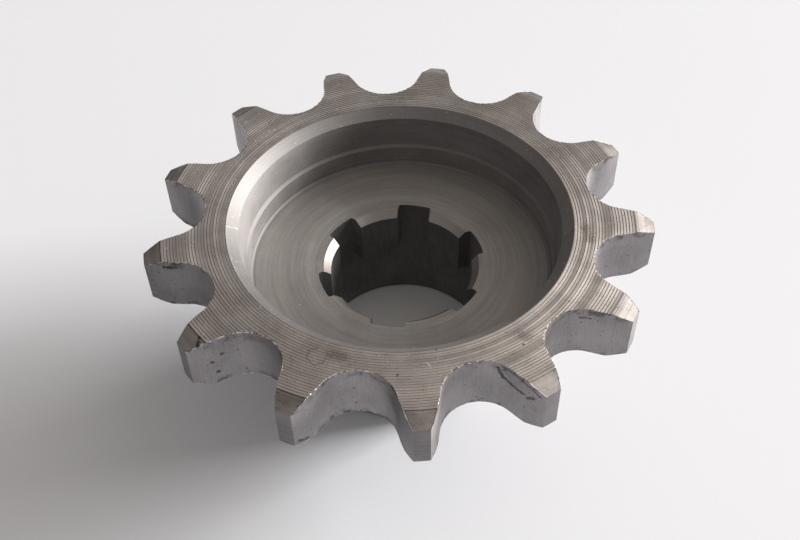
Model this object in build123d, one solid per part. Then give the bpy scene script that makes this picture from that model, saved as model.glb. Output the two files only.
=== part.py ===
"""Chain sprocket: 13 teeth for a 12.7 mm pitch roller chain, with a dished face and a splined hub.

One turned and milled piece. Millimetres, +Z up along the bore. The origin is on the bore's
axis at the end face of the hub, on which the sprocket stands. Tooth 0 and one spline slot
point along +Y.
"""
import math
import os

from build123d import *

# Roller chain: half-inch pitch with an 8.51 mm roller, the size of 08B and 428 chains.
chain_pitch = 12.7
roller_diameter = 8.51
tooth_count = 13

# Tooth form of ISO 606: a seat for the roller, then one flank arc to the tip circle.
seat_factor = 0.505  # seat radius as a share of the roller's diameter
flank_factor = 0.12  # flank radius as a share of roller diameter times (teeth + 2)
seating_angle = 131.0  # degrees, between the two ends of the seat arc
tip_diameter = 57.6
tooth_width = 6.9
tip_chamfer_run = 2.0  # how far the bevels of the tooth sides reach in from the tip circle
tip_chamfer_drop = 0.85

# Splined section of the bore: six slots with parallel sides.
spline_minor = 16.8
spline_depth = 1.5
spline_count = 6
spline_length = 6.2
slot_width = 4.0
slot_corner_fillet = 0.25
bore_chamfer = 0.8

# Hub: a sleeve under the disc, bored out below the splines. Its end face is the resting face.
hub_bore_clearance = 0.2  # by which the hub's bore clears the ends of the slots
hub_bore_chamfer = 0.2
hub_wall = 1.75
hub_length = 12.7
hub_edge_chamfer = 0.5
hub_root_fillet = 1.0

# Web and drum: the floor of the recess, carried by a short drum under the toothed disc.
web_thickness = 2.65
drum_wall = 2.1
drum_edge_chamfer = 0.8

# Recess in the face: a bevelled mouth, a slightly tapered wall, a bevelled shoulder and a smaller bore.
recess_depth = 7.65
recess_bore = 36.8
recess_taper = 0.3  # by which the wall's radius shrinks down to the shoulder
mouth_chamfer_run = 1.25
mouth_chamfer_drop = 1.0
shoulder_depth = 4.85
shoulder_run = 0.35
shoulder_drop = 0.3
floor_fillet = 0.5

# Spot face round the bore, a little below the floor of the recess.
spot_land = 1.4
spot_bevel = 0.9
spot_depth = 0.12

# Worked out from the driving sizes.
pitch_radius = chain_pitch / (2 * math.sin(math.pi / tooth_count))
seat_radius = seat_factor * roller_diameter
flank_radius = flank_factor * roller_diameter * (tooth_count + 2)
tip_radius = tip_diameter / 2
bore_radius = spline_minor / 2
major_radius = bore_radius + spline_depth
hub_bore_radius = major_radius + hub_bore_clearance
hub_radius = hub_bore_radius + hub_wall
recess_radius = recess_bore / 2
shoulder_radius = recess_radius - recess_taper
lower_radius = shoulder_radius - shoulder_run
drum_radius = lower_radius + drum_wall
chamfer_radius = bore_radius + bore_chamfer
spot_radius = chamfer_radius + spot_land + spot_bevel

web_bottom = hub_length
floor_height = web_bottom + web_thickness
face_height = floor_height + recess_depth
disc_bottom = face_height - tooth_width
spot_height = floor_height - spot_depth
spline_bottom = spot_height - spline_length
overall_height = face_height


def section_points():
    """Half section of the blank as (radius, height), counter-clockwise from the bore's lower edge."""
    under_disc = [
        (hub_bore_radius + hub_bore_chamfer, 0),
        (hub_radius - hub_edge_chamfer, 0),
        (hub_radius, hub_edge_chamfer),
        (hub_radius, web_bottom),
        (drum_radius - drum_edge_chamfer, web_bottom),
        (drum_radius, web_bottom + drum_edge_chamfer),
        (drum_radius, disc_bottom),
    ]
    rim = [
        (tip_radius - tip_chamfer_run, disc_bottom),
        (tip_radius, disc_bottom + tip_chamfer_drop),
        (tip_radius, face_height - tip_chamfer_drop),
        (tip_radius - tip_chamfer_run, face_height),
    ]
    recess = [
        (recess_radius + mouth_chamfer_run, face_height),
        (recess_radius, face_height - mouth_chamfer_drop),
        (shoulder_radius, face_height - shoulder_depth),
        (lower_radius, face_height - shoulder_depth - shoulder_drop),
        (lower_radius, floor_height),
        (spot_radius, floor_height),
        (spot_radius - spot_bevel, spot_height),
        (chamfer_radius, spot_height),
    ]
    bore = [
        (bore_radius, spot_height - bore_chamfer),
        (bore_radius, spline_bottom),
        (hub_bore_radius, spline_bottom),
        (hub_bore_radius, hub_bore_chamfer),
    ]
    return under_disc + rim + recess + bore


def corner_of(face, radius, height):
    """The section's corner nearest to a radius and height."""
    return face.vertices().sort_by_distance(Vector(radius, 0, height))[0]


def turned_blank():
    """The lathe work: the section, with two inside corners rounded, turned round the bore's axis."""
    outline = Polyline(*[(r, 0, z) for r, z in section_points()], close=True)
    face = make_face(outline)
    face = fillet(corner_of(face, hub_radius, web_bottom), hub_root_fillet)
    face = fillet(corner_of(face, lower_radius, floor_height), floor_fillet)
    return revolve(face, Axis.Z, 360)


def tooth_gap():
    """One gap between two teeth, its middle line along +X, from the seat out past the tips.

    Each flank arc runs on to the middle line of its tooth, where an uncut tooth would be pointed.
    """
    half_seat = seating_angle / 2
    half_step = 180 / tooth_count
    seat = CenterArc((pitch_radius, 0), seat_radius, 180 - half_seat, seating_angle)
    offset = seat_radius + flank_radius
    centre_x = pitch_radius - offset * math.cos(math.radians(half_seat))
    centre_y = offset * math.sin(math.radians(half_seat))
    middle_x = math.cos(math.radians(half_step))
    middle_y = math.sin(math.radians(half_step))
    aside = centre_y * middle_x - centre_x * middle_y
    last = half_step - math.degrees(math.asin(aside / flank_radius))
    upper = CenterArc((centre_x, centre_y), flank_radius, -half_seat, last + half_seat)
    lower = mirror(upper, about=Plane.XZ)
    reach = pitch_radius + tip_radius
    corners = [(reach * middle_x, reach * middle_y), (reach * middle_x, -reach * middle_y)]
    closing = Polyline(upper @ 1, *corners, lower @ 1)
    return make_face(Curve() + [seat, upper, lower, closing])


def tooth_gap_cutter():
    """All gaps between the teeth, each through the whole height of the blank."""
    half_step = 180 / tooth_count
    cutter = extrude(tooth_gap(), overall_height)
    return [
        Rot(0, 0, 90 - half_step * (2 * tooth + 1)) * cutter
        for tooth in range(tooth_count)
    ]


def spline_cutter():
    """The broached slots: arms with parallel sides that end on the major circle."""
    arm = Pos(major_radius / 2, 0) * Rectangle(major_radius, slot_width)
    step = 360 / spline_count
    arms = Sketch() + [Rot(0, 0, 90 + step * slot) * arm for slot in range(spline_count)]
    star = arms & Circle(major_radius)
    outer = star.vertices().filter_by(lambda v: math.hypot(v.X, v.Y) > bore_radius)
    star = fillet(outer, slot_corner_fillet)
    return extrude(star, overall_height)


def sprocket():
    """The finished piece: the turned blank, less the gaps between the teeth and the spline slots."""
    return turned_blank() - tooth_gap_cutter() - spline_cutter()


os.makedirs("parts", exist_ok=True)
part = sprocket()
print("pitch diameter", round(2 * pitch_radius, 3), "seat radius", round(seat_radius, 3))
print("flank radius", round(flank_radius, 3), "root diameter", round(2 * (pitch_radius - seat_radius), 3))
print("volume", round(part.volume, 1), "height", round(overall_height, 3))
export_step(part, "parts/sprocket.step")
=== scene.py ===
# %% [markdown]
# # A turned steel chain sprocket
#
# The real part is one piece of steel. A lathe faces and bores it, a hob mills the gaps between
# the teeth, and a broach cuts the slots of the bore. Each of these tools leaves its own marks,
# and on a part with no paint the marks are the whole look. So this lesson follows the tools:
# first the shape that each one leaves, as one closed mesh, and then a finish for each surface.

import math

import bpy
import numpy as np
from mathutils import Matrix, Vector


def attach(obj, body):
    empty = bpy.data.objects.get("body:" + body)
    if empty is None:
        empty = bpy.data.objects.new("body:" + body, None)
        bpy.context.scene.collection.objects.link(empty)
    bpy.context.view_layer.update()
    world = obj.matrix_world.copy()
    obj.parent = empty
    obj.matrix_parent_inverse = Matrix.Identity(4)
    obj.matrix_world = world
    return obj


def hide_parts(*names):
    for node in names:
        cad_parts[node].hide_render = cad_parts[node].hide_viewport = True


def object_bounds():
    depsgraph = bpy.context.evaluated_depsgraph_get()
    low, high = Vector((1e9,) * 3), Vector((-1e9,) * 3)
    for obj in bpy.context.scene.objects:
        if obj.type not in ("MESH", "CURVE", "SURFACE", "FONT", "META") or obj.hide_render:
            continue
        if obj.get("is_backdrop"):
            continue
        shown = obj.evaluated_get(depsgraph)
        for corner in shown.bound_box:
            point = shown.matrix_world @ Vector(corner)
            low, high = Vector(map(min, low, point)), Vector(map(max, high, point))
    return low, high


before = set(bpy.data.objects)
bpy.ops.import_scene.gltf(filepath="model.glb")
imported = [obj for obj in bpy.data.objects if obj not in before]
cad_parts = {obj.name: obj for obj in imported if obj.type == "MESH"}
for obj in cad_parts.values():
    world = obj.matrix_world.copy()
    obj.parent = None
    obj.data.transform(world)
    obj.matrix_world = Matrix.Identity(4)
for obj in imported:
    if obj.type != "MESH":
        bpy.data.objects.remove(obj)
cad_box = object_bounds()


def print_box(title, box):
    print(title, [tuple(round(v, 5) for v in corner) for corner in box])


print_box("CAD box in metres:", cad_box)

# %% [markdown]
# ## Sizes
#
# The solid's own sizes come first, in millimetres, because the dressed part must be the same
# part. Heights are measured from the end of the hub, which stands on the table. Everything is
# turned into metres only when the mesh is made.

# %% Sizes of the teeth and the disc, in millimetres
MM = 0.001
teeth, chain_pitch = 13, 12.7
half_step = math.pi / teeth  # from the middle of a tooth to the middle of a gap, as an angle
pitch_radius = chain_pitch / (2 * math.sin(half_step))
seat_radius, half_seat = 4.29755, math.radians(65.5)
flank_radius = 15.318
root_radius = pitch_radius - seat_radius
tip_radius = 28.798
bevel_start, bevel_drop = 26.8, 0.85
face, disc_bottom = 23.0, 16.1
print("pitch radius", round(pitch_radius, 3), "root radius", round(root_radius, 3))

# %% Sizes of the recess, the bore and the hub, in millimetres
mouth_radius, wall_radius, wall_top = 19.65, 18.4, 22.0
shoulder_radius, shoulder_top = 18.1, 18.15
lower_radius, shoulder_foot = 17.75, 17.85
floor_height, floor_fillet = 15.35, 0.5
spot_outer, spot_inner, spot_height = 11.5, 10.6, 15.23
chamfer_radius, bore_radius, bore_top = 9.2, 8.4, 14.43
slots, major_radius, half_slot, slot_corner = 6, 9.9, 2.0, 0.25
spline_bottom = 9.03
hub_bore, hub_bore_edge = 10.1, 0.2
hub_radius, hub_edge, hub_fillet = 11.85, 0.5, 1.0
web_bottom = 12.7
drum_radius, drum_edge = 19.85, 0.8
print("the recess is", round(face - floor_height, 2), "mm deep")

# %% [markdown]
# ## The camera
#
# The camera stands where the photograph was taken from, about 140 mm from the part and looking
# down at 44 degrees. Such a near camera draws the near teeth much larger than the far ones, so
# its place matters more than its lens. The small shift puts the part where the photograph has it.

# %% Camera
def make_camera(place, turns, lens, shift):
    """A camera on a 36 mm frame. place is in metres and turns are in degrees."""
    data = bpy.data.cameras.new("photo_camera")
    data.sensor_width, data.lens = 36.0, lens
    data.shift_x, data.shift_y = shift
    data.clip_start, data.clip_end = 0.005, 20.0
    camera = bpy.data.objects.new("photo_camera", data)
    camera.location = place
    camera.rotation_euler = [math.radians(a) for a in turns]
    bpy.context.scene.collection.objects.link(camera)
    bpy.context.scene.camera = camera
    return camera


camera = make_camera(place=(0.016323, -0.086217, 0.108853), turns=(42.0703, -0.2589, 8.5929),
                     lens=48.66, shift=(-0.0408, 0.0160))
print("camera is", round(camera.location.length / MM), "mm from the foot of the hub")

# %% [markdown]
# ## The outline of a tooth
#
# Seen from above, the gap between two teeth is a roller seat with one flank arc on each side,
# and the tooth ends on the turned tip circle. The whole outline can be written as a radius for
# each direction from the axis. That makes the mesh easy: rings round the axis are the lathe's
# own lines, and the outline only says where each ring stops.

# %% Outline radius in a direction
def ray_circle(along, centre, radius, far):
    """Where rays from the axis meet a circle: the nearer or the farther crossing."""
    forward = centre[0] * np.cos(along) + centre[1] * np.sin(along)
    gap = radius ** 2 - (centre[0] ** 2 + centre[1] ** 2 - forward ** 2)
    root = np.sqrt(np.maximum(gap, 0.0))
    return forward + root if far else forward - root


flank_centre = (
    pitch_radius - (seat_radius + flank_radius) * math.cos(half_seat),
    (seat_radius + flank_radius) * math.sin(half_seat),
)
seat_end = math.atan2(
    seat_radius * math.sin(half_seat), pitch_radius - seat_radius * math.cos(half_seat)
)


def flank_reach(away):
    """Radius of the flank arc, at an angle from the middle of the gap."""
    return ray_circle(away, flank_centre, flank_radius, far=True)


def from_gap_middle(turn):
    """Angle from the middle of the nearest gap, below zero on its one side. A tooth is on +Y."""
    return np.mod(turn - math.pi / 2, 2 * half_step) - half_step


def outline(turn):
    """Radius of the toothed outline in each direction."""
    away = np.abs(from_gap_middle(turn))
    seat = ray_circle(away, (pitch_radius, 0.0), seat_radius, far=False)
    return np.minimum(np.where(away < seat_end, seat, flank_reach(away)), tip_radius)


def land_start():
    """Angle from the gap's middle at which the flank reaches the tip circle, by halving."""
    low, high = seat_end, half_step
    for _ in range(60):
        middle = (low + high) / 2
        low, high = (middle, high) if flank_reach(middle) < tip_radius else (low, middle)
    return low


tip_corner = land_start()
print("tip land", round(2 * tip_radius * (half_step - tip_corner), 2), "mm wide")

# %% [markdown]
# The columns of the outer mesh are close together on the flanks, where the outline runs
# outwards fast, and wider apart in the seats. Exact columns stand where one curve meets the
# next, so that those corners stay crisp.

# %% Columns of the outer mesh
def tooth_columns(flank_step=0.105, seat_step=0.16, land_step=0.3):
    """Angles of the columns of one gap, from its middle. The steps are in millimetres."""
    seat_count = int(seat_end * root_radius / seat_step)
    seat = np.linspace(0, seat_end, seat_count, endpoint=False)
    reach = np.linspace(seat_end, tip_corner, 400)
    wanted = np.arange(flank_reach(seat_end), tip_radius - flank_step / 2, flank_step)
    flank = np.interp(wanted, flank_reach(reach), reach)
    land_count = max(2, int((half_step - tip_corner) * tip_radius / land_step))
    land = np.linspace(tip_corner, half_step, land_count + 1)
    half = np.concatenate([seat, flank, land])
    return np.concatenate([-half[:0:-1], half[:-1]])


gap_middles = math.pi / 2 + half_step + 2 * half_step * np.arange(teeth)
outer_turns = (gap_middles[:, None] + tooth_columns()[None, :]).ravel()
outer_turns = np.sort(np.mod(outer_turns, 2 * math.pi))
print("outer columns", len(outer_turns))

# %% [markdown]
# ## The lathe's lines
#
# The face is finished with one coarse feed: the tool moves out a third of a millimetre with each
# turn of the part, and its tip leaves a groove like a saw tooth, steep on the inner side and
# gentle on the outer side. That is what makes a turned face shimmer, so the grooves are real
# geometry, two rings to a groove, and their depth differs a little from one to the next.

# %% Grooved profile of the face and the tooth bevels
groove_pitch, groove_depth, groove_spread = 0.337, 0.028, 0.06
bevel_pitch, bevel_depth, bevel_spread = 0.25, 0.010, 0.6
ridge_place = 0.25  # the ridge follows the deepest line after a quarter of the pitch
chance = np.random.default_rng(7)


def scalloped(start, stop, pitch, depth, spread):
    """Radii and depths below the surface of a run of saw-tooth grooves."""
    count = int(round((stop - start) / pitch))
    step = (stop - start) / count
    deepest = start + (stop - start) * np.arange(count) / count
    depths = depth * (1 + spread * chance.uniform(-1, 1, count))
    radii = np.stack([deepest, deepest + step * ridge_place], axis=1).ravel()
    below = np.stack([depths, np.zeros(count)], axis=1).ravel()
    return np.append(radii, stop), np.append(below, 0.0)


def past_bevel_start(radius):
    """How far out on the bevel a radius is, from 0 at its start to 1 at the tip."""
    return np.maximum(radius - bevel_start, 0) / (tip_radius - bevel_start)


face_radii, face_below = scalloped(
    mouth_radius, bevel_start, groove_pitch, groove_depth, groove_spread)
bevel_radii, bevel_below = scalloped(
    bevel_start, tip_radius, bevel_pitch, bevel_depth, bevel_spread)
top_radii = np.concatenate([face_radii, bevel_radii[1:]])
top_below = np.concatenate([face_below, bevel_below[1:]])
top_heights = face - top_below - bevel_drop * past_bevel_start(top_radii)


def top_height(radius):
    return np.interp(radius, top_radii, top_heights)


def under_height(radius):
    return disc_bottom + bevel_drop * past_bevel_start(radius)


face_grooves = (len(face_radii) - 1) // 2
print("grooves on the face:", face_grooves)

# %% [markdown]
# ## One closed shell
#
# A shell collects points and faces. Rows of points go round the axis, and each new row is joined
# to the one before it. Where the outline cuts a row short, its points fall on those of the row
# before; they are shared and no face is made, so the mesh stays clean and watertight. Two rows
# with different columns are stitched together with triangles.

# %% Shell builder
class Shell:
    same_point = 1e-5  # points nearer than this, in millimetres, are one point

    def __init__(self):
        self.points, self.faces, self.regions = [], [], []
        self.count = 0

    def row(self, turns, radius, height, before=None):
        """Adds one row. Points equal to those of the row before are shared with it."""
        turns = np.asarray(turns)
        radius = np.broadcast_to(radius, turns.shape)
        height = np.broadcast_to(height, turns.shape)
        place = np.stack([radius * np.cos(turns), radius * np.sin(turns), height], axis=1)
        index = np.arange(self.count, self.count + len(turns))
        fresh = np.ones(len(turns), bool)
        if before is not None:
            fresh = np.abs(place - before["place"]).max(axis=1) > self.same_point
            index = np.where(fresh, self.count + np.cumsum(fresh) - 1, before["index"])
        self.points.append(place[fresh])
        self.count += int(fresh.sum())
        return {"turns": turns, "place": place, "index": index}

    def add_face(self, corners, region):
        """Adds a face, or a triangle if two corners are shared, or nothing if more are."""
        kept = [c for k, c in enumerate(corners) if c != corners[k - 1]]
        if len(set(kept)) == len(kept) and len(kept) > 2:
            self.faces.append(kept)
            self.regions.append(region)

    def join(self, first, second, region):
        """Faces between two rows with the same columns, with one name or one for each column."""
        a, b = first["index"].tolist(), second["index"].tolist()
        names = [region] * len(a) if isinstance(region, str) else region
        for j, name in enumerate(names):
            k = (j + 1) % len(a)
            self.add_face([a[j], b[j], b[k], a[k]], name)

    def grow(self, before, radius, height, region):
        """Adds a row with the columns of the row before, and joins the two."""
        following = self.row(before["turns"], radius, height, before)
        self.join(before, following, region)
        return following

    def stitch(self, first, second, region):
        """Triangles between two rows with different columns, walking round both at once."""
        def corner(row, k):
            return int(row["index"][k % len(row["index"])])

        def turn(row, k):
            rounds, place = divmod(k, len(row["turns"]))
            return row["turns"][place] + 2 * math.pi * rounds

        i = j = 0
        end_i, end_j = len(first["turns"]), len(second["turns"])
        while i < end_i or j < end_j:
            here = [corner(first, i), corner(second, j)]
            if j == end_j or (i < end_i and turn(first, i + 1) <= turn(second, j + 1)):
                i += 1
                self.add_face([*here, corner(first, i)], region)
            else:
                j += 1
                self.add_face([*here, corner(second, j)], region)


shell = Shell()
print("points to start with:", shell.count)

# %% [markdown]
# ## The splined bore
#
# The broach leaves six slots with parallel sides. Seen from the axis they are again one radius
# for each direction: the bore itself between the slots, the slot's side, a small rounded corner,
# and the slot's end on the major circle.

# %% Inner radius in a direction
corner_y = half_slot - slot_corner
corner_x = math.sqrt((major_radius - slot_corner) ** 2 - corner_y ** 2)
corner_from = math.atan2(corner_y, corner_x)
corner_to = math.atan2(half_slot, corner_x)
side_to = math.asin(half_slot / bore_radius)
slot_step = 2 * math.pi / slots


def bore_outline(turn):
    """Radius of the splined bore in each direction. One slot points along +Y."""
    away = np.abs(np.mod(turn - math.pi / 2 + slot_step / 2, slot_step) - slot_step / 2)
    corner = ray_circle(away, (corner_x, corner_y), slot_corner, far=True)
    side = half_slot / np.sin(np.maximum(away, 0.01))  # 0.01 only keeps the sine above zero
    slot = np.where(away < corner_from, major_radius, np.where(away < corner_to, corner, side))
    return np.where(away < side_to, slot, bore_radius)


print("slots are", round(major_radius - bore_radius, 2), "mm deep")

# %% Columns of the inner mesh
def inner_columns(count=360, nearest=0.004):
    """Exact columns at the corners of the slots, and even ones that keep clear of them."""
    corner_turn = corner_to - corner_from
    exact = [corner_from, corner_from + 0.25 * corner_turn, corner_from + 0.6 * corner_turn,
             corner_to, (corner_to + side_to) / 2, side_to - 0.0004, side_to]
    exact = np.array([-a for a in exact[::-1]] + exact)
    centres = math.pi / 2 + slot_step * np.arange(slots)
    exact = np.mod((centres[:, None] + exact[None, :]).ravel(), 2 * math.pi)
    even = 2 * math.pi * (np.arange(count) + 0.5) / count
    apart = np.abs(np.mod(even[:, None] - exact[None, :] + math.pi, 2 * math.pi) - math.pi)
    return np.sort(np.concatenate([exact, even[apart.min(axis=1) > nearest]]))


inner_turns = inner_columns()
inner_radius = bore_outline(inner_turns)
plain_count = 144
plain_turns = 2 * math.pi * (np.arange(plain_count) + 0.5) / plain_count
print("inner columns", len(inner_turns), "and plain ones", plain_count)

# %% [markdown]
# The inner rows run along the section of the blank: down the drum, under the web, down the hub,
# across its end, up the bore, over the spot face and the floor, and up the recess to the face.
# The section is drawn like a pencil line. Each stroke starts at the last row and says where it
# ends, how many rows it has and which surface it finishes. Up to the splines the rows are plain
# circles, and they need far fewer columns.

# %% Strokes of the section
def line(rows, radius, height, count, region):
    """Evenly spaced rows from the last row to a new corner of the section."""
    start_radius, start_height, _ = rows[-1]
    for k in range(1, count + 1):
        rows.append((start_radius + (radius - start_radius) * k / count,
                     start_height + (height - start_height) * k / count, region))


def arc(rows, centre, radius, first, last, count, region):
    """Rows on an arc of the section, between two angles in degrees."""
    for k in range(1, count + 1):
        angle = math.radians(first + (last - first) * k / count)
        rows.append((centre[0] + radius * math.cos(angle),
                     centre[1] + radius * math.sin(angle), region))


def outside_rows():
    """From the drum's top, under the web and down the hub, up to the end of the hub's bore."""
    rows = [(drum_radius, disc_bottom, "underside")]
    line(rows, drum_radius, web_bottom + drum_edge, 2, "underside")
    line(rows, drum_radius - drum_edge, web_bottom, 1, "underside")
    line(rows, hub_radius + hub_fillet, web_bottom, 4, "underside")
    fillet_centre = (hub_radius + hub_fillet, web_bottom - hub_fillet)
    arc(rows, fillet_centre, hub_fillet, 90, 180, 6, "underside")
    line(rows, hub_radius, hub_edge, 4, "hub")
    line(rows, hub_radius - hub_edge, 0, 1, "hub")
    line(rows, hub_bore + hub_bore_edge, 0, 2, "hub")
    line(rows, hub_bore, hub_bore_edge, 1, "bore")
    line(rows, hub_bore, spline_bottom, 4, "bore")
    return rows


def recess_rows():
    """From the bevel of the bore, over the spot face and the floor, to the recess's mouth."""
    rows = [(chamfer_radius, spot_height, "bevel")]
    line(rows, spot_inner, spot_height, 3, "spot")
    line(rows, spot_outer, floor_height, 2, "spot")
    line(rows, lower_radius - floor_fillet, floor_height, 4, "floor")
    fillet_centre = (lower_radius - floor_fillet, floor_height + floor_fillet)
    arc(rows, fillet_centre, floor_fillet, -90, 0, 5, "blend")
    line(rows, lower_radius, shoulder_foot, 2, "recess")
    line(rows, shoulder_radius, shoulder_top, 2, "blend")
    line(rows, wall_radius, wall_top, 3, "recess")
    line(rows, mouth_radius, face, 3, "mouth")
    return rows


print("rows of the section:", len(outside_rows()), "and", len(recess_rows()))

# %% Rows of the inner surface
bore_rows, bevel_rows = 6, 3


def bore_top_height(radius):
    """Height of the bevel and the spot face that the bore's edge runs through."""
    return np.minimum(bore_top + np.maximum(radius - bore_radius, 0), spot_height)


def build_inside():
    """All rows inside the rim. Returns the first and the last of them."""
    (radius, height, _), *others = outside_rows()
    first = row = shell.row(plain_turns, radius, height)
    for radius, height, region in others:
        row = shell.grow(row, radius, height, region)
    splines = shell.row(inner_turns, inner_radius, spline_bottom)
    shell.stitch(row, splines, "bore")
    row = splines
    brink = bore_top_height(inner_radius)
    for share in np.linspace(0, 1, bore_rows + 1)[1:]:
        height = spline_bottom + (brink - spline_bottom) * share
        row = shell.grow(row, inner_radius, height, "bore")
    for radius in np.linspace(bore_radius, chamfer_radius, bevel_rows + 1)[1:]:
        clear = np.maximum(radius, inner_radius)
        row = shell.grow(row, clear, bore_top_height(clear), "bevel")
    for radius, height, region in recess_rows()[1:]:
        row = shell.grow(row, np.maximum(radius, inner_radius), height, region)
    return first, row


inside_first, inside_last = build_inside()
print("points inside", shell.count)

# %% [markdown]
# ## The toothed rim
#
# Outside the roots of the teeth every row is cut by the outline. From the face the rows go over
# the bevels, round the top edge of the wall, down the wall, round its lower edge and back in
# under the disc. The cutter pushes a little steel over each edge, so the edges are neither sharp
# nor evenly rounded: a small ragged lip runs along them and catches the light as a broken line.
# It is largest on the side where the cutter leaves the gap and nearly gone on the other side.

# %% Edges of the teeth
edge_width = 0.07  # mean width of an edge, in millimetres
lip_stop, lip_fade = 0.3, 0.5  # the lips stop so far from the tip circle, after a fade
top_lip_size, foot_lip_size = 0.09, 0.12


def waves(turn, counts, seed):
    """A smooth random value from -1 to 1 round the part, made of waves that close in a turn."""
    draw = np.random.default_rng(seed)
    total = sum(np.sin(turn * n + draw.uniform(0, 2 * math.pi)) for n in counts)
    return total / len(counts)


def ragged(count, seed, share):
    """A random value for each column, nearly zero except for a share of the columns."""
    draw = np.random.default_rng(seed)
    height = draw.uniform(0.35, 1.0, count)
    return np.where(draw.uniform(0, 1, count) < share, height, 0.12 * height)


outer_radius = outline(outer_turns)
below_tip = np.clip((tip_radius - lip_stop - outer_radius) / lip_fade, 0, 1)
across_gap = from_gap_middle(outer_turns) / half_step  # from -1 to 1 over each gap
burred = np.clip(0.6 - 1.4 * across_gap, 0.08, 1.0)
top_inset = edge_width + 0.03 * waves(outer_turns, [61, 97, 143, 211], seed=3)
top_lip = below_tip * burred * top_lip_size * ragged(len(outer_turns), 11, 0.5)
foot_inset = edge_width + 0.02 * waves(outer_turns, [53, 89, 131, 190], seed=5)
foot_lip = below_tip * burred * foot_lip_size * ragged(len(outer_turns), 12, 0.15)
print("largest lip:", round(float(top_lip.max()), 3), "mm")

# %% [markdown]
# Two surfaces share the rim's wall: the tip land was turned, and the rest was milled. The lips
# get a brighter finish than the wall, but only on the side where they are large.

# %% Surface of each column of the wall
large_lip = 0.3  # share of the full lip from which it counts as large
on_land = np.abs(from_gap_middle(outer_turns)) > tip_corner - 1e-6
between_land = on_land & np.roll(on_land, -1)
wall_regions = np.where(between_land, "land", "flank").tolist()
edge_regions = np.where(
    between_land, "land", np.where(burred > large_lip, "burr", "flank")).tolist()
print("columns with a burr:", edge_regions.count("burr"), "of", len(edge_regions))

# %% Rows of the toothed rim
seam_radius = 22.05  # here the inner columns give way to the outer ones
wall_rows = 6
under_radii = [tip_radius, 27.8, bevel_start, 25.6, 24.3, 23.2, 22.2, 21.2, 20.3]
lip_drop, wall_drop, foot_rise = 0.2, 1.4, 0.3  # heights at the edges, in widths of the edge


def build_rim():
    """All rows outside the seam. Returns the first and the last of them."""
    radii = top_radii[top_radii > seam_radius]
    clear = np.minimum(radii[0], outer_radius - top_inset)
    first = row = shell.row(outer_turns, clear, top_height(clear))
    for radius in radii[1:]:
        clear = np.minimum(radius, outer_radius - top_inset)
        on_face = radius < bevel_start + 0.01
        row = shell.grow(row, clear, top_height(clear), "face" if on_face else "tip_bevel")
    brink = top_height(outer_radius - top_inset)
    foot = under_height(outer_radius - foot_inset)
    row = shell.grow(row, outer_radius + top_lip, brink - lip_drop * top_inset, edge_regions)
    wall_start, wall_end = brink - wall_drop * top_inset, foot + foot_inset
    row = shell.grow(row, outer_radius, wall_start, edge_regions)
    for share in np.linspace(0, 1, wall_rows)[1:]:
        height = wall_start * (1 - share) + wall_end * share
        row = shell.grow(row, outer_radius, height, wall_regions)
    row = shell.grow(row, outer_radius + foot_lip, foot + foot_rise * foot_inset, edge_regions)
    for radius in under_radii:
        clear = np.minimum(radius, outer_radius - foot_inset)
        row = shell.grow(row, clear, under_height(clear), "underside")
    return first, row


row = inside_last
for radius in top_radii[(top_radii > mouth_radius) & (top_radii <= seam_radius)]:
    row = shell.grow(row, radius, top_height(radius), "face")
rim_first, rim_last = build_rim()
shell.stitch(row, rim_first, "face")
shell.stitch(rim_last, inside_first, "underside")
print("points", shell.count, "faces", len(shell.faces))

# %% [markdown]
# ## The mesh and its surfaces
#
# Each face knows which tool cut it, and that name picks its finish. Edges sharper than the angle
# below stay crisp and all others are smooth, so a groove shows its ridge and a wall its curve.

# %% Make the object
surfaces = ["face", "tip_bevel", "flank", "land", "burr", "mouth", "recess", "blend", "floor",
            "spot", "bevel", "bore", "hub", "underside"]
sharp_angle = math.radians(24)


def add_object(name, data):
    piece = bpy.data.objects.new(name, data)
    bpy.context.scene.collection.objects.link(piece)
    return piece


def make_sprocket():
    mesh = bpy.data.meshes.new("sprocket_turned")
    points = np.concatenate(shell.points) * MM
    mesh.from_pydata(points.tolist(), [], shell.faces)
    picked = [surfaces.index(name) for name in shell.regions]
    mesh.polygons.foreach_set("material_index", picked)
    mesh.validate()
    mesh.shade_smooth()
    mesh.set_sharp_from_angle(angle=sharp_angle)
    return add_object("sprocket_turned", mesh)


sprocket = make_sprocket()
triangles = sum(len(p.vertices) - 2 for p in sprocket.data.polygons)
print("triangles", triangles)

# %% [markdown]
# ## Shader maths as plain expressions
#
# A finish is mostly arithmetic on the place of a point: how far from the axis, how high, which
# way round. One small class wraps a shader socket so that this arithmetic reads like Python, and
# one method adds any other node.

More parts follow.
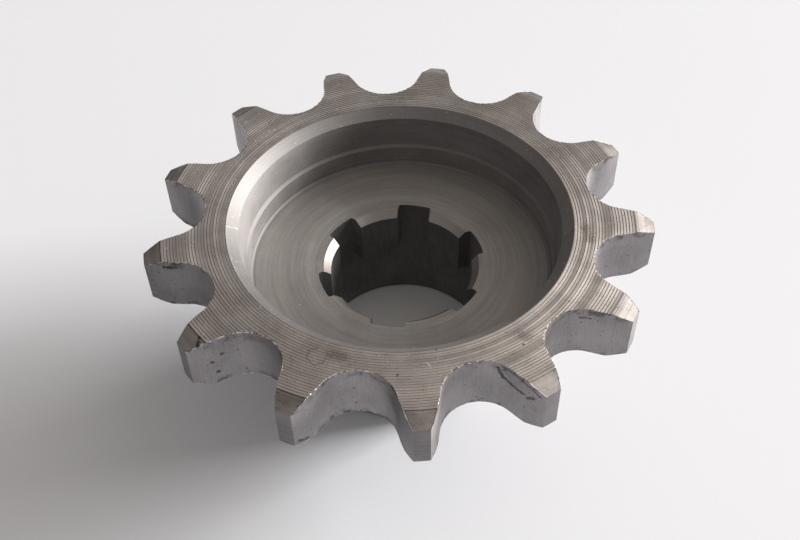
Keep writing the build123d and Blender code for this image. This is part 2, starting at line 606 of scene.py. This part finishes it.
# %% Wires
class Wire:
    """A shader socket. Arithmetic on it adds Math nodes."""

    def __init__(self, nodes, socket):
        self.nodes, self.socket = nodes, socket

    def __add__(self, other):
        return self.nodes.maths("ADD", self, other)

    def __sub__(self, other):
        return self.nodes.maths("SUBTRACT", self, other)

    def __rsub__(self, other):
        return self.nodes.maths("SUBTRACT", other, self)

    def __mul__(self, other):
        return self.nodes.maths("MULTIPLY", self, other)

    def __truediv__(self, other):
        return self.nodes.maths("DIVIDE", self, other)

    def __rtruediv__(self, other):
        return self.nodes.maths("DIVIDE", other, self)

    def __pow__(self, other):
        return self.nodes.maths("POWER", self, other)

    def __rpow__(self, other):
        return self.nodes.maths("POWER", other, self)

    __radd__, __rmul__ = __add__, __mul__

    def smaller(self, other):
        return self.nodes.maths("MINIMUM", self, other)

    def between(self, low, high):
        """0 below low, 1 above high and smooth between them; low may be the larger one."""
        settings = {"interpolation_type": "SMOOTHSTEP"}
        inputs = {"Value": self, "From Min": low, "From Max": high, "To Min": 0.0, "To Max": 1.0}
        return self.nodes.node("ShaderNodeMapRange", settings, inputs)


print("operators:", [name for name in vars(Wire) if name.startswith("__r")])

# %% Nodes of a material or of the room
class Nodes:
    """A node tree, emptied and ready to be filled."""

    def __init__(self, tree):
        self.tree = tree
        self.tree.nodes.clear()

    def node(self, kind, settings=None, inputs=None, output=0):
        """Adds a node: its settings first, then the values or links of its sockets.

        output picks the socket that is returned; a tuple picks several, and None picks none.
        """
        made = self.tree.nodes.new(kind)
        for key, value in (settings or {}).items():
            setattr(made, key, value)
        for key, value in (inputs or {}).items():
            if isinstance(value, Wire):
                self.tree.links.new(value.socket, made.inputs[key])
            else:
                made.inputs[key].default_value = value
        if isinstance(output, tuple):
            return tuple(Wire(self, made.outputs[key]) for key in output)
        return None if output is None else Wire(self, made.outputs[output])

    def maths(self, operation, *values, clamp=False):
        settings = {"operation": operation, "use_clamp": clamp}
        return self.node("ShaderNodeMath", settings, dict(enumerate(values)))

    def vector_maths(self, operation, *values, output="Vector", **named):
        inputs = {**dict(enumerate(values)), **named}
        return self.node("ShaderNodeVectorMath", {"operation": operation}, inputs, output)

    def vector(self, x, y, z):
        return self.node("ShaderNodeCombineXYZ", inputs={"X": x, "Y": y, "Z": z})

    def noise(self, where, scale, detail=2.0, rough=0.5):
        inputs = {"Vector": where, "Scale": scale, "Detail": detail, "Roughness": rough}
        return self.node("ShaderNodeTexNoise", inputs=inputs)

    def mix(self, share, first, second):
        """One colour, with a share of another in it."""
        colours = {0: share, 6: first, 7: second}  # the sockets of a Mix node set to colours
        return self.node("ShaderNodeMix", {"data_type": "RGBA"}, colours, output=2)


class Finish(Nodes):
    """One material, which ends in one principled shader."""

    def __init__(self, name):
        self.material = bpy.data.materials.new(name)
        self.material.use_nodes = True
        super().__init__(self.material.node_tree)

    def shader(self, **inputs):
        """Underscores stand for the spaces in socket names."""
        named = {key.replace("_", " "): value for key, value in inputs.items()}
        surface = self.node("ShaderNodeBsdfPrincipled", inputs=named)
        self.node("ShaderNodeOutputMaterial", inputs={"Surface": surface}, output=None)


print("a finish can add:", [name for name in vars(Nodes) if not name.startswith("_")])

# %% [markdown]
# ## Marks of handling
#
# This part has been stored and carried: there are a few pits and scratches, dark smears of old
# oil, and small bright bruises. Each mark is a point or a chain of short lines on the part, and
# a finish asks how far away the nearest one is. A little noise in that distance breaks up the
# outlines of the marks.

# %% Where the marks are, in millimetres
marks = {  # half width, tone, strength, and the lines or points of each kind
    "wide dark smears": (0.20, (0.045, 0.035, 0.032), 0.85, [
        [(13.28, -19.3, 22.33), (13.74, -19.44, 21.2), (14.46, -19.76, 20.83),
         (15.3, -20.3, 20.6), (16.18, -20.95, 20.6)],
        [(-24.31, -11.05, 22.22), (-23.44, -10.97, 22.15)],
        [(-17.29, -20.66, 22.94), (-17.34, -21.49, 22.65)],
        [(-5.7, -27.73, 17.31), (-5.05, -26.81, 16.63)],
        [(-15.37, -20.4, 20.39)], [(-16.35, -21.06, 19.57)], [(-15.99, -20.83, 17.79)],
        [(16.52, -21.16, 20.29), (17.17, -21.52, 20.9)],
    ]),
    "narrow dark smears and pits": (0.12, (0.055, 0.045, 0.043), 0.8, [
        [(13.66, -19.41, 22.7), (14.55, -19.82, 22.6), (15.55, -20.53, 22.67),
         (16.78, -21.31, 22.26), (17.8, -21.84, 21.63)],
        [(-23.44, -10.97, 22.15), (-22.99, -10.91, 22.29)],
        [(2.0, -22.73, 22.22), (2.4, -22.97, 22.2)],
        [(21.02, -10.85, 21.67), (22.2, -10.82, 21.65)],
        [(-13.41, -19.34, 17.0)], [(-1.0, -22.35, 20.07)], [(-0.95, -22.34, 17.52)],
        [(20.86, -10.89, 22.33)], [(22.99, -10.91, 21.55)], [(3.51, -22.23, 23.0)],
        [(15.53, -16.45, 23.0)], [(19.75, -9.91, 23.0)], [(6.87, -18.48, 23.0)],
        [(19.46, 0.81, 22.86)], [(3.3, -23.8, 20.3)],
    ]),
    "thin dark loop": (0.07, (0.12, 0.11, 0.10), 0.5, [
        [(-5.0, -20.15, 23.0), (-5.8, -20.35, 23.0), (-5.92, -21.5, 23.0),
         (-4.95, -22.39, 23.0), (-4.17, -21.87, 23.0), (-3.96, -21.2, 23.0)],
    ]),
    "brown stains": (0.55, (0.17, 0.14, 0.12), 0.5, [
        [(-3.41, -20.72, 23.0), (-2.29, -20.94, 23.0)],
        [(15.22, -15.26, 23.0), (15.79, -15.45, 23.0)],
        [(20.89, 1.29, 23.0), (21.44, -0.53, 23.0)],
        [(3.08, -23.54, 20.91), (3.5, -24.03, 19.59)],
        [(-12.78, -19.22, 22.21), (-11.17, -19.36, 22.02)],
    ]),
    "bright scratch": (0.05, (0.7, 0.68, 0.65), 0.4, [
        [(-19.01, -4.61, 22.93), (-18.01, -3.85, 22.01)],
    ]),
    "bright bruises": (0.055, (0.85, 0.83, 0.80), 0.9, [
        [(-5.89, -20.26, 23.0)], [(-6.9, -22.54, 23.0)], [(-14.22, -16.04, 23.0)],
        [(-19.55, -8.46, 23.0)], [(-10.57, -16.03, 22.64)], [(-10.36, -8.33, 15.35)],
        [(6.35, -22.55, 23.0)], [(3.53, -12.59, 15.35)], [(5.47, -19.71, 23.0)],
        [(6.15, -20.17, 23.0), (6.62, -20.77, 23.0)], [(-16.12, -20.91, 22.83)],
        [(19.7, 1.36, 23.0)], [(3.17, -10.6, 15.35)], [(-18.08, 2.83, 20.73)],
    ]),
}
print("marks:", {kind: len(lines) for kind, (*_, lines) in marks.items()})

# %% [markdown]
# ## Bare steel, as each tool leaves it
#
# All the surfaces are the same metal, so they share its colour and differ in their marks. A tool
# that turns round the axis leaves fine lines round it: they vary with the radius and the height
# and hardly at all along the line. A cutter that runs down the wall leaves lines along the
# bore's axis. The marks make the reflection wide across them and narrow along them, which the
# shader calls anisotropy; with no tangent of its own, it runs round the object's Z axis, the
# lathe's. The layers below can go on any steel: fine tool marks, dark lines along the coarse
# grooves with painted shade on the side away from the window, stains along the edges of the
# wall, and the marks of handling.

# %% Layers of a steel finish
class SteelFinish(Finish):
    """A finish that knows the place of a point on the part, in millimetres."""

    def __init__(self, name):
        super().__init__(name)
        metres = self.node("ShaderNodeTexCoord", output="Object")
        self.place = self.vector_maths("SCALE", metres, Scale=1 / MM)
        self.x, self.y, self.z = self.node(
            "ShaderNodeSeparateXYZ", inputs={0: self.place}, output=("X", "Y", "Z"))
        self.radius = (self.x * self.x + self.y * self.y) ** 0.5

    def tool_marks(self, run, fine):
        """Fine lines round the axis or down a wall, as noise that is stretched along them."""
        if run == "round":
            turned = (self.radius + self.z) * fine
            where = self.vector(turned, self.x / self.radius, self.y / self.radius)
            return self.noise(where, 1.0, detail=5.0, rough=0.7)
        where = self.vector(self.x * fine, self.y * fine, self.z * 0.35)
        return self.noise(where, 1.0, detail=4.0, rough=0.6)

    def dark_grooves_and_side_shade(self, start, pitch, half_width):
        """Darker along the deepest lines of the coarse grooves, broken here and there, and darker
        still on the -X side as painted shade.
        """
        turn = self.maths("FRACT", (self.radius - start) / pitch + 0.5)
        off_line = self.maths("ABSOLUTE", (turn - 0.5) * pitch)
        where = self.vector(self.radius * 1.7, self.x / self.radius * 2.0,
                            self.y / self.radius * 2.0)
        patchy = self.noise(where, 1.0, detail=3.0)
        painted_side_shade = self.x.between(8.0, -12.0) * 0.4 + 0.35  # painted shade: the lines are darker on the -X side, away from the window
        return off_line.between(half_width, half_width * 0.25) * (
            painted_side_shade + patchy.between(0.2, 0.6) * 0.25)

    def edge_stain(self):
        """Stains near the upper and the lower edge of the wall."""
        stain = self.noise(self.place, 0.8, detail=5.0, rough=0.65).between(0.47, 0.62)
        upper = self.z.between(face - 1.5, face - 0.1)
        lower = self.z.between(disc_bottom + 1.0, disc_bottom)
        return stain * (upper + lower)

    def distance(self, start, end):
        """Distance in millimetres from a short line on the part, or from a point."""
        along = [b - a for a, b in zip(start, end)]
        square = sum(v * v for v in along)
        offset = self.vector_maths("SUBTRACT", self.place, start)
        if square > 0:
            reach = self.vector_maths("DOT_PRODUCT", offset, along, output="Value")
            share = self.maths("MULTIPLY", reach, 1 / square, clamp=True)
            foot = self.vector_maths("SCALE", along, Scale=share)
            offset = self.vector_maths("SUBTRACT", offset, foot)
        return self.vector_maths("LENGTH", offset, output="Value")

    def handled(self, colour):
        """The colour with all marks of handling in it."""
        uneven = self.noise(self.place, 3.0, detail=4.0, rough=0.8) - 0.5
        for half_width, tone, strength, lines in marks.values():
            nearest = None
            for points in lines:
                for start, end in zip(points, points[1:] or points):
                    far = self.distance(start, end)
                    nearest = far if nearest is None else nearest.smaller(far)
            torn = nearest + half_width * 5.0 * uneven
            mask = torn.between(half_width * 1.3, half_width * 0.6)
            colour = self.mix(mask * strength, colour, (*tone, 1.0))
        return colour


print("layers:", [name for name in vars(SteelFinish) if not name.startswith("_")])

# %% [markdown]
# Every steel is then the same recipe. Its tone wanders between a low and a high value with the
# tool marks, large soft patches and a fine grain; dirt, painted shade along the grooves and
# bright specks are mixed over it; and the tool marks also make a very shallow bump.

# %% Steel
straw, warm = (1.07, 1.0, 0.94), (1.07, 1.0, 0.95)
grey, neutral, cool = (1.03, 1.0, 0.98), (1.01, 1.0, 1.0), (1.03, 0.982, 1.0)
glint_tone = (0.85, 0.83, 0.80, 1.0)
dirt_and_shade_share = 0.15  # dirt, pits and the painted shade in the grooves are so dark beside clean steel


def toned(tone, tint, share):
    return (*(tone * t * share for t in tint), 1.0)


def steel(name, base, roughness, anisotropy=0.3, marks_run="round", sheen_turn=0.25,
          depth=0.003, fine=9.0, streaks=0.45, crisp=0.2, cloud=0.4, spread=0.3, specks=0.0,
          glints=0.0, edge_dirt=0.0, tint=straw, valleys=None, handled=False):
    """One finish of bare steel.

    base, tint, spread: mean tone, its colour, and how far the streaks and patches leave it.
    roughness, anisotropy: those of the shader. sheen_turn turns the wide side of the reflection;
        a quarter puts it across lines that run round, and 0 across lines that run down.
    marks_run, fine, depth: way of the tool marks, their number in a millimetre, their depth.
    streaks, crisp: share of the tool marks in the tone, and the softness of their borders.
    cloud: share of the large patches in the tone.
    specks, glints, edge_dirt: strength of dark pits, bright specks and stains near the edges.
    valleys: first radius, pitch and half width of the coarse grooves whose deepest lines are
    darker.
    handled: whether the marks of handling are on it.
    """
    finish = SteelFinish(name)
    lines = finish.tool_marks(marks_run, fine)
    patches = finish.noise(finish.place, 0.22, detail=5.0, rough=0.6)
    grain = finish.noise(finish.place, 7.0, detail=3.0, rough=0.6)
    tone = (lines.between(0.5 - crisp, 0.5 + crisp) * streaks
            + patches.between(0.35, 0.65) * cloud + grain.between(0.35, 0.7) * 0.25)
    colour = finish.mix(tone, toned(base, tint, 1 - spread), toned(base, tint, 1 + spread))
    dirt_and_shade = toned(base, tint, dirt_and_shade_share)
    # the groove lines get the dark tone, with painted shade on the side away from the window
    if valleys:
        colour = finish.mix(finish.dark_grooves_and_side_shade(*valleys), colour, dirt_and_shade)
    if specks:
        pits = finish.noise(finish.place, 2.6, detail=2.0, rough=0.7).between(0.64, 0.72)
        colour = finish.mix(pits * specks, colour, dirt_and_shade)
    if glints:
        sparks = finish.noise(finish.place, 3.4, detail=1.0, rough=0.5).between(0.70, 0.76)
        colour = finish.mix(sparks * glints, colour, glint_tone)
    if edge_dirt:
        colour = finish.mix(finish.edge_stain() * edge_dirt, colour, dirt_and_shade)
    if handled:
        colour = finish.handled(colour)
    gloss = roughness + 0.08 * (grain - 0.5) + 0.10 * (patches - 0.5)
    relief = {"Strength": 1.0, "Distance": depth * MM, "Height": lines + 0.3 * grain}
    finish.shader(Base_Color=colour, Metallic=1.0, Roughness=gloss,
                  Normal=finish.node("ShaderNodeBump", inputs=relief),
                  Anisotropic=anisotropy, Anisotropic_Rotation=sheen_turn)
    return finish.material


print("mean tone of straw-coloured steel at 0.4:", [round(v, 3) for v in toned(0.4, straw, 1)])

# %% [markdown]
# The face, the bevels and the rough walls of the recess come from the same lathe, with coarser
# and finer feeds. The walls of the teeth are milled, the bore is broached, and the hub is ground
# for a seal or a bush, so it is the glossiest of all.

# %% Finish of each surface
groove_lines = (mouth_radius + 0.04, (bevel_start - mouth_radius) / face_grooves, 0.06)
bevel_line = (bevel_start + 0.07, 4.0, 0.07)  # one line only, since the bevel is 2 mm wide
finishes = {
    "face": steel("turned_face", 0.46, 0.49, fine=6.0, specks=0.5, glints=0.6, tint=warm,
                  valleys=groove_lines, handled=True),
    "tip_bevel": steel("tooth_bevel", 0.27, 0.66, 0.15, fine=4.0, cloud=0.6, spread=0.4,
                       specks=0.8, tint=warm, valleys=bevel_line, handled=True),
    "flank": steel("milled_flank", 0.30, 0.48, 0.4, marks_run="down", streaks=0.3, spread=0.28,
                   specks=0.7, edge_dirt=0.8, tint=cool, handled=True),
    "land": steel("tip_land", 0.25, 0.62, fine=4.0, specks=0.4, tint=cool),
    "burr": steel("edge_burr", 0.45, 0.48, marks_run="down", depth=0.01, fine=2.4,
                  streaks=0.75, crisp=0.05, cloud=0.0, spread=0.9),
    "mouth": steel("mouth_bevel", 0.27, 0.66, fine=3.5, depth=0.004, spread=0.12, glints=0.5,
                   tint=grey, handled=True),
    "recess": steel("recess_wall", 0.30, 0.68, fine=3.0, depth=0.004, spread=0.18, specks=0.3,
                    tint=grey, handled=True),
    "blend": steel("recess_blend", 0.23, 0.66, fine=3.0, spread=0.18, tint=grey),
    "floor": steel("recess_floor", 0.335, 0.62, fine=2.2, depth=0.005, spread=0.22, cloud=0.2,
                   tint=grey, handled=True),
    "spot": steel("spot_face", 0.36, 0.60, fine=2.2, depth=0.006, spread=0.28, cloud=0.2,
                  tint=grey, handled=True),
    "bevel": steel("bore_bevel", 0.36, 0.50, fine=4.0, spread=0.12),
    "bore": steel("broached_bore", 0.27, 0.74, marks_run="down", sheen_turn=0.0, tint=neutral),
    "hub": steel("ground_hub", 0.45, 0.28, 0.5),
    "underside": steel("turned_underside", 0.45, 0.45),
}
for name in surfaces:
    sprocket.data.materials.append(finishes[name])
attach(sprocket, "root")
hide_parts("sprocket")
print("finishes", len(finishes))

# %% [markdown]
# ## Table and light
#
# The part stands on pale card. Steel has no colour of its own to show: it shows the room. So the
# room is kept plain and soft, with one wide bright window low behind the part on the right. It
# lights the left side of the recess's mouth, leaves the right side dark, and throws the soft
# shadow to the left. The window is a little warm and the walls a little blue, so the lit side of
# the recess looks warmer than its dark side, and the card is slightly blue to stay white.

# %% Table
def make_table(size=6.0):
    mesh = bpy.data.meshes.new("table_card")
    half = size / 2
    corners = [(-half, -half, 0), (half, -half, 0), (half, half, 0), (-half, half, 0)]
    mesh.from_pydata(corners, [], [(0, 1, 2, 3)])
    card = Finish("white_card")
    card.shader(Base_Color=(0.798, 0.83, 0.878, 1.0), Roughness=0.6, Specular_IOR_Level=0.2)
    mesh.materials.append(card.material)
    return add_object("table_card", mesh)


table = make_table()
table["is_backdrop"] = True
print("table is", table.dimensions.x, "m wide")

# %% Window
far_turn = 10.72  # degrees from +Y to the way that the camera looks, counter-clockwise


def direction(azimuth, elevation):
    """Way to a place in the room. azimuth runs clockwise from the far side of the part."""
    turn, rise = math.radians(azimuth - far_turn), math.radians(elevation)
    return (math.sin(turn) * math.cos(rise), math.cos(turn) * math.cos(rise), math.sin(rise))


def make_window(azimuth, elevation, distance, width, height, watts, colour):
    """A soft light that faces the part."""
    data = bpy.data.lights.new("window", "AREA")
    data.shape, data.size, data.size_y = "RECTANGLE", width, height
    data.energy, data.color = watts, colour
    light = add_object("window", data)
    light.location = [distance * v for v in direction(azimuth, elevation)]
    light.rotation_euler = light.location.to_track_quat("Z", "Y").to_euler()
    return light


window = make_window(azimuth=70, elevation=14.5, distance=3.0, width=1.26, height=1.23,
                     watts=228.0, colour=(1.024, 0.985, 0.964))
print("window stands at", [round(v, 2) for v in window.location])

# %% Room
wall, ceiling = (0.146, 0.153, 0.173, 1.0), (0.447, 0.40, 0.354, 1.0)
glow = (1.09, 1.0, 0.907, 1.0)  # brighter wall and ceiling round the window


def make_room():
    world = bpy.data.worlds.new("room")
    world.use_nodes = True
    room = Nodes(world.node_tree)
    where = room.node("ShaderNodeTexCoord", output="Generated")
    up = room.node("ShaderNodeSeparateXYZ", inputs={0: where}, output="Z")
    to_glow = direction(azimuth=68, elevation=40)
    near_glow = room.vector_maths("DOT_PRODUCT", where, to_glow, output="Value")
    colour = room.mix(up.between(0.3, 0.98), wall, ceiling)
    colour = room.mix(near_glow.between(0.70, 1.0), colour, glow)
    background = room.node("ShaderNodeBackground", inputs={"Color": colour})
    room.node("ShaderNodeOutputWorld", inputs={"Surface": background}, output=None)
    return world


bpy.context.scene.world = make_room()
bpy.context.scene.view_settings.view_transform = "Standard"
bpy.context.scene.view_settings.look = "None"
print("nodes in the room:", len(bpy.context.scene.world.node_tree.nodes))

# %% Boxes, and the end
dressed_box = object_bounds()
print_box("dressed box in metres:", dressed_box)
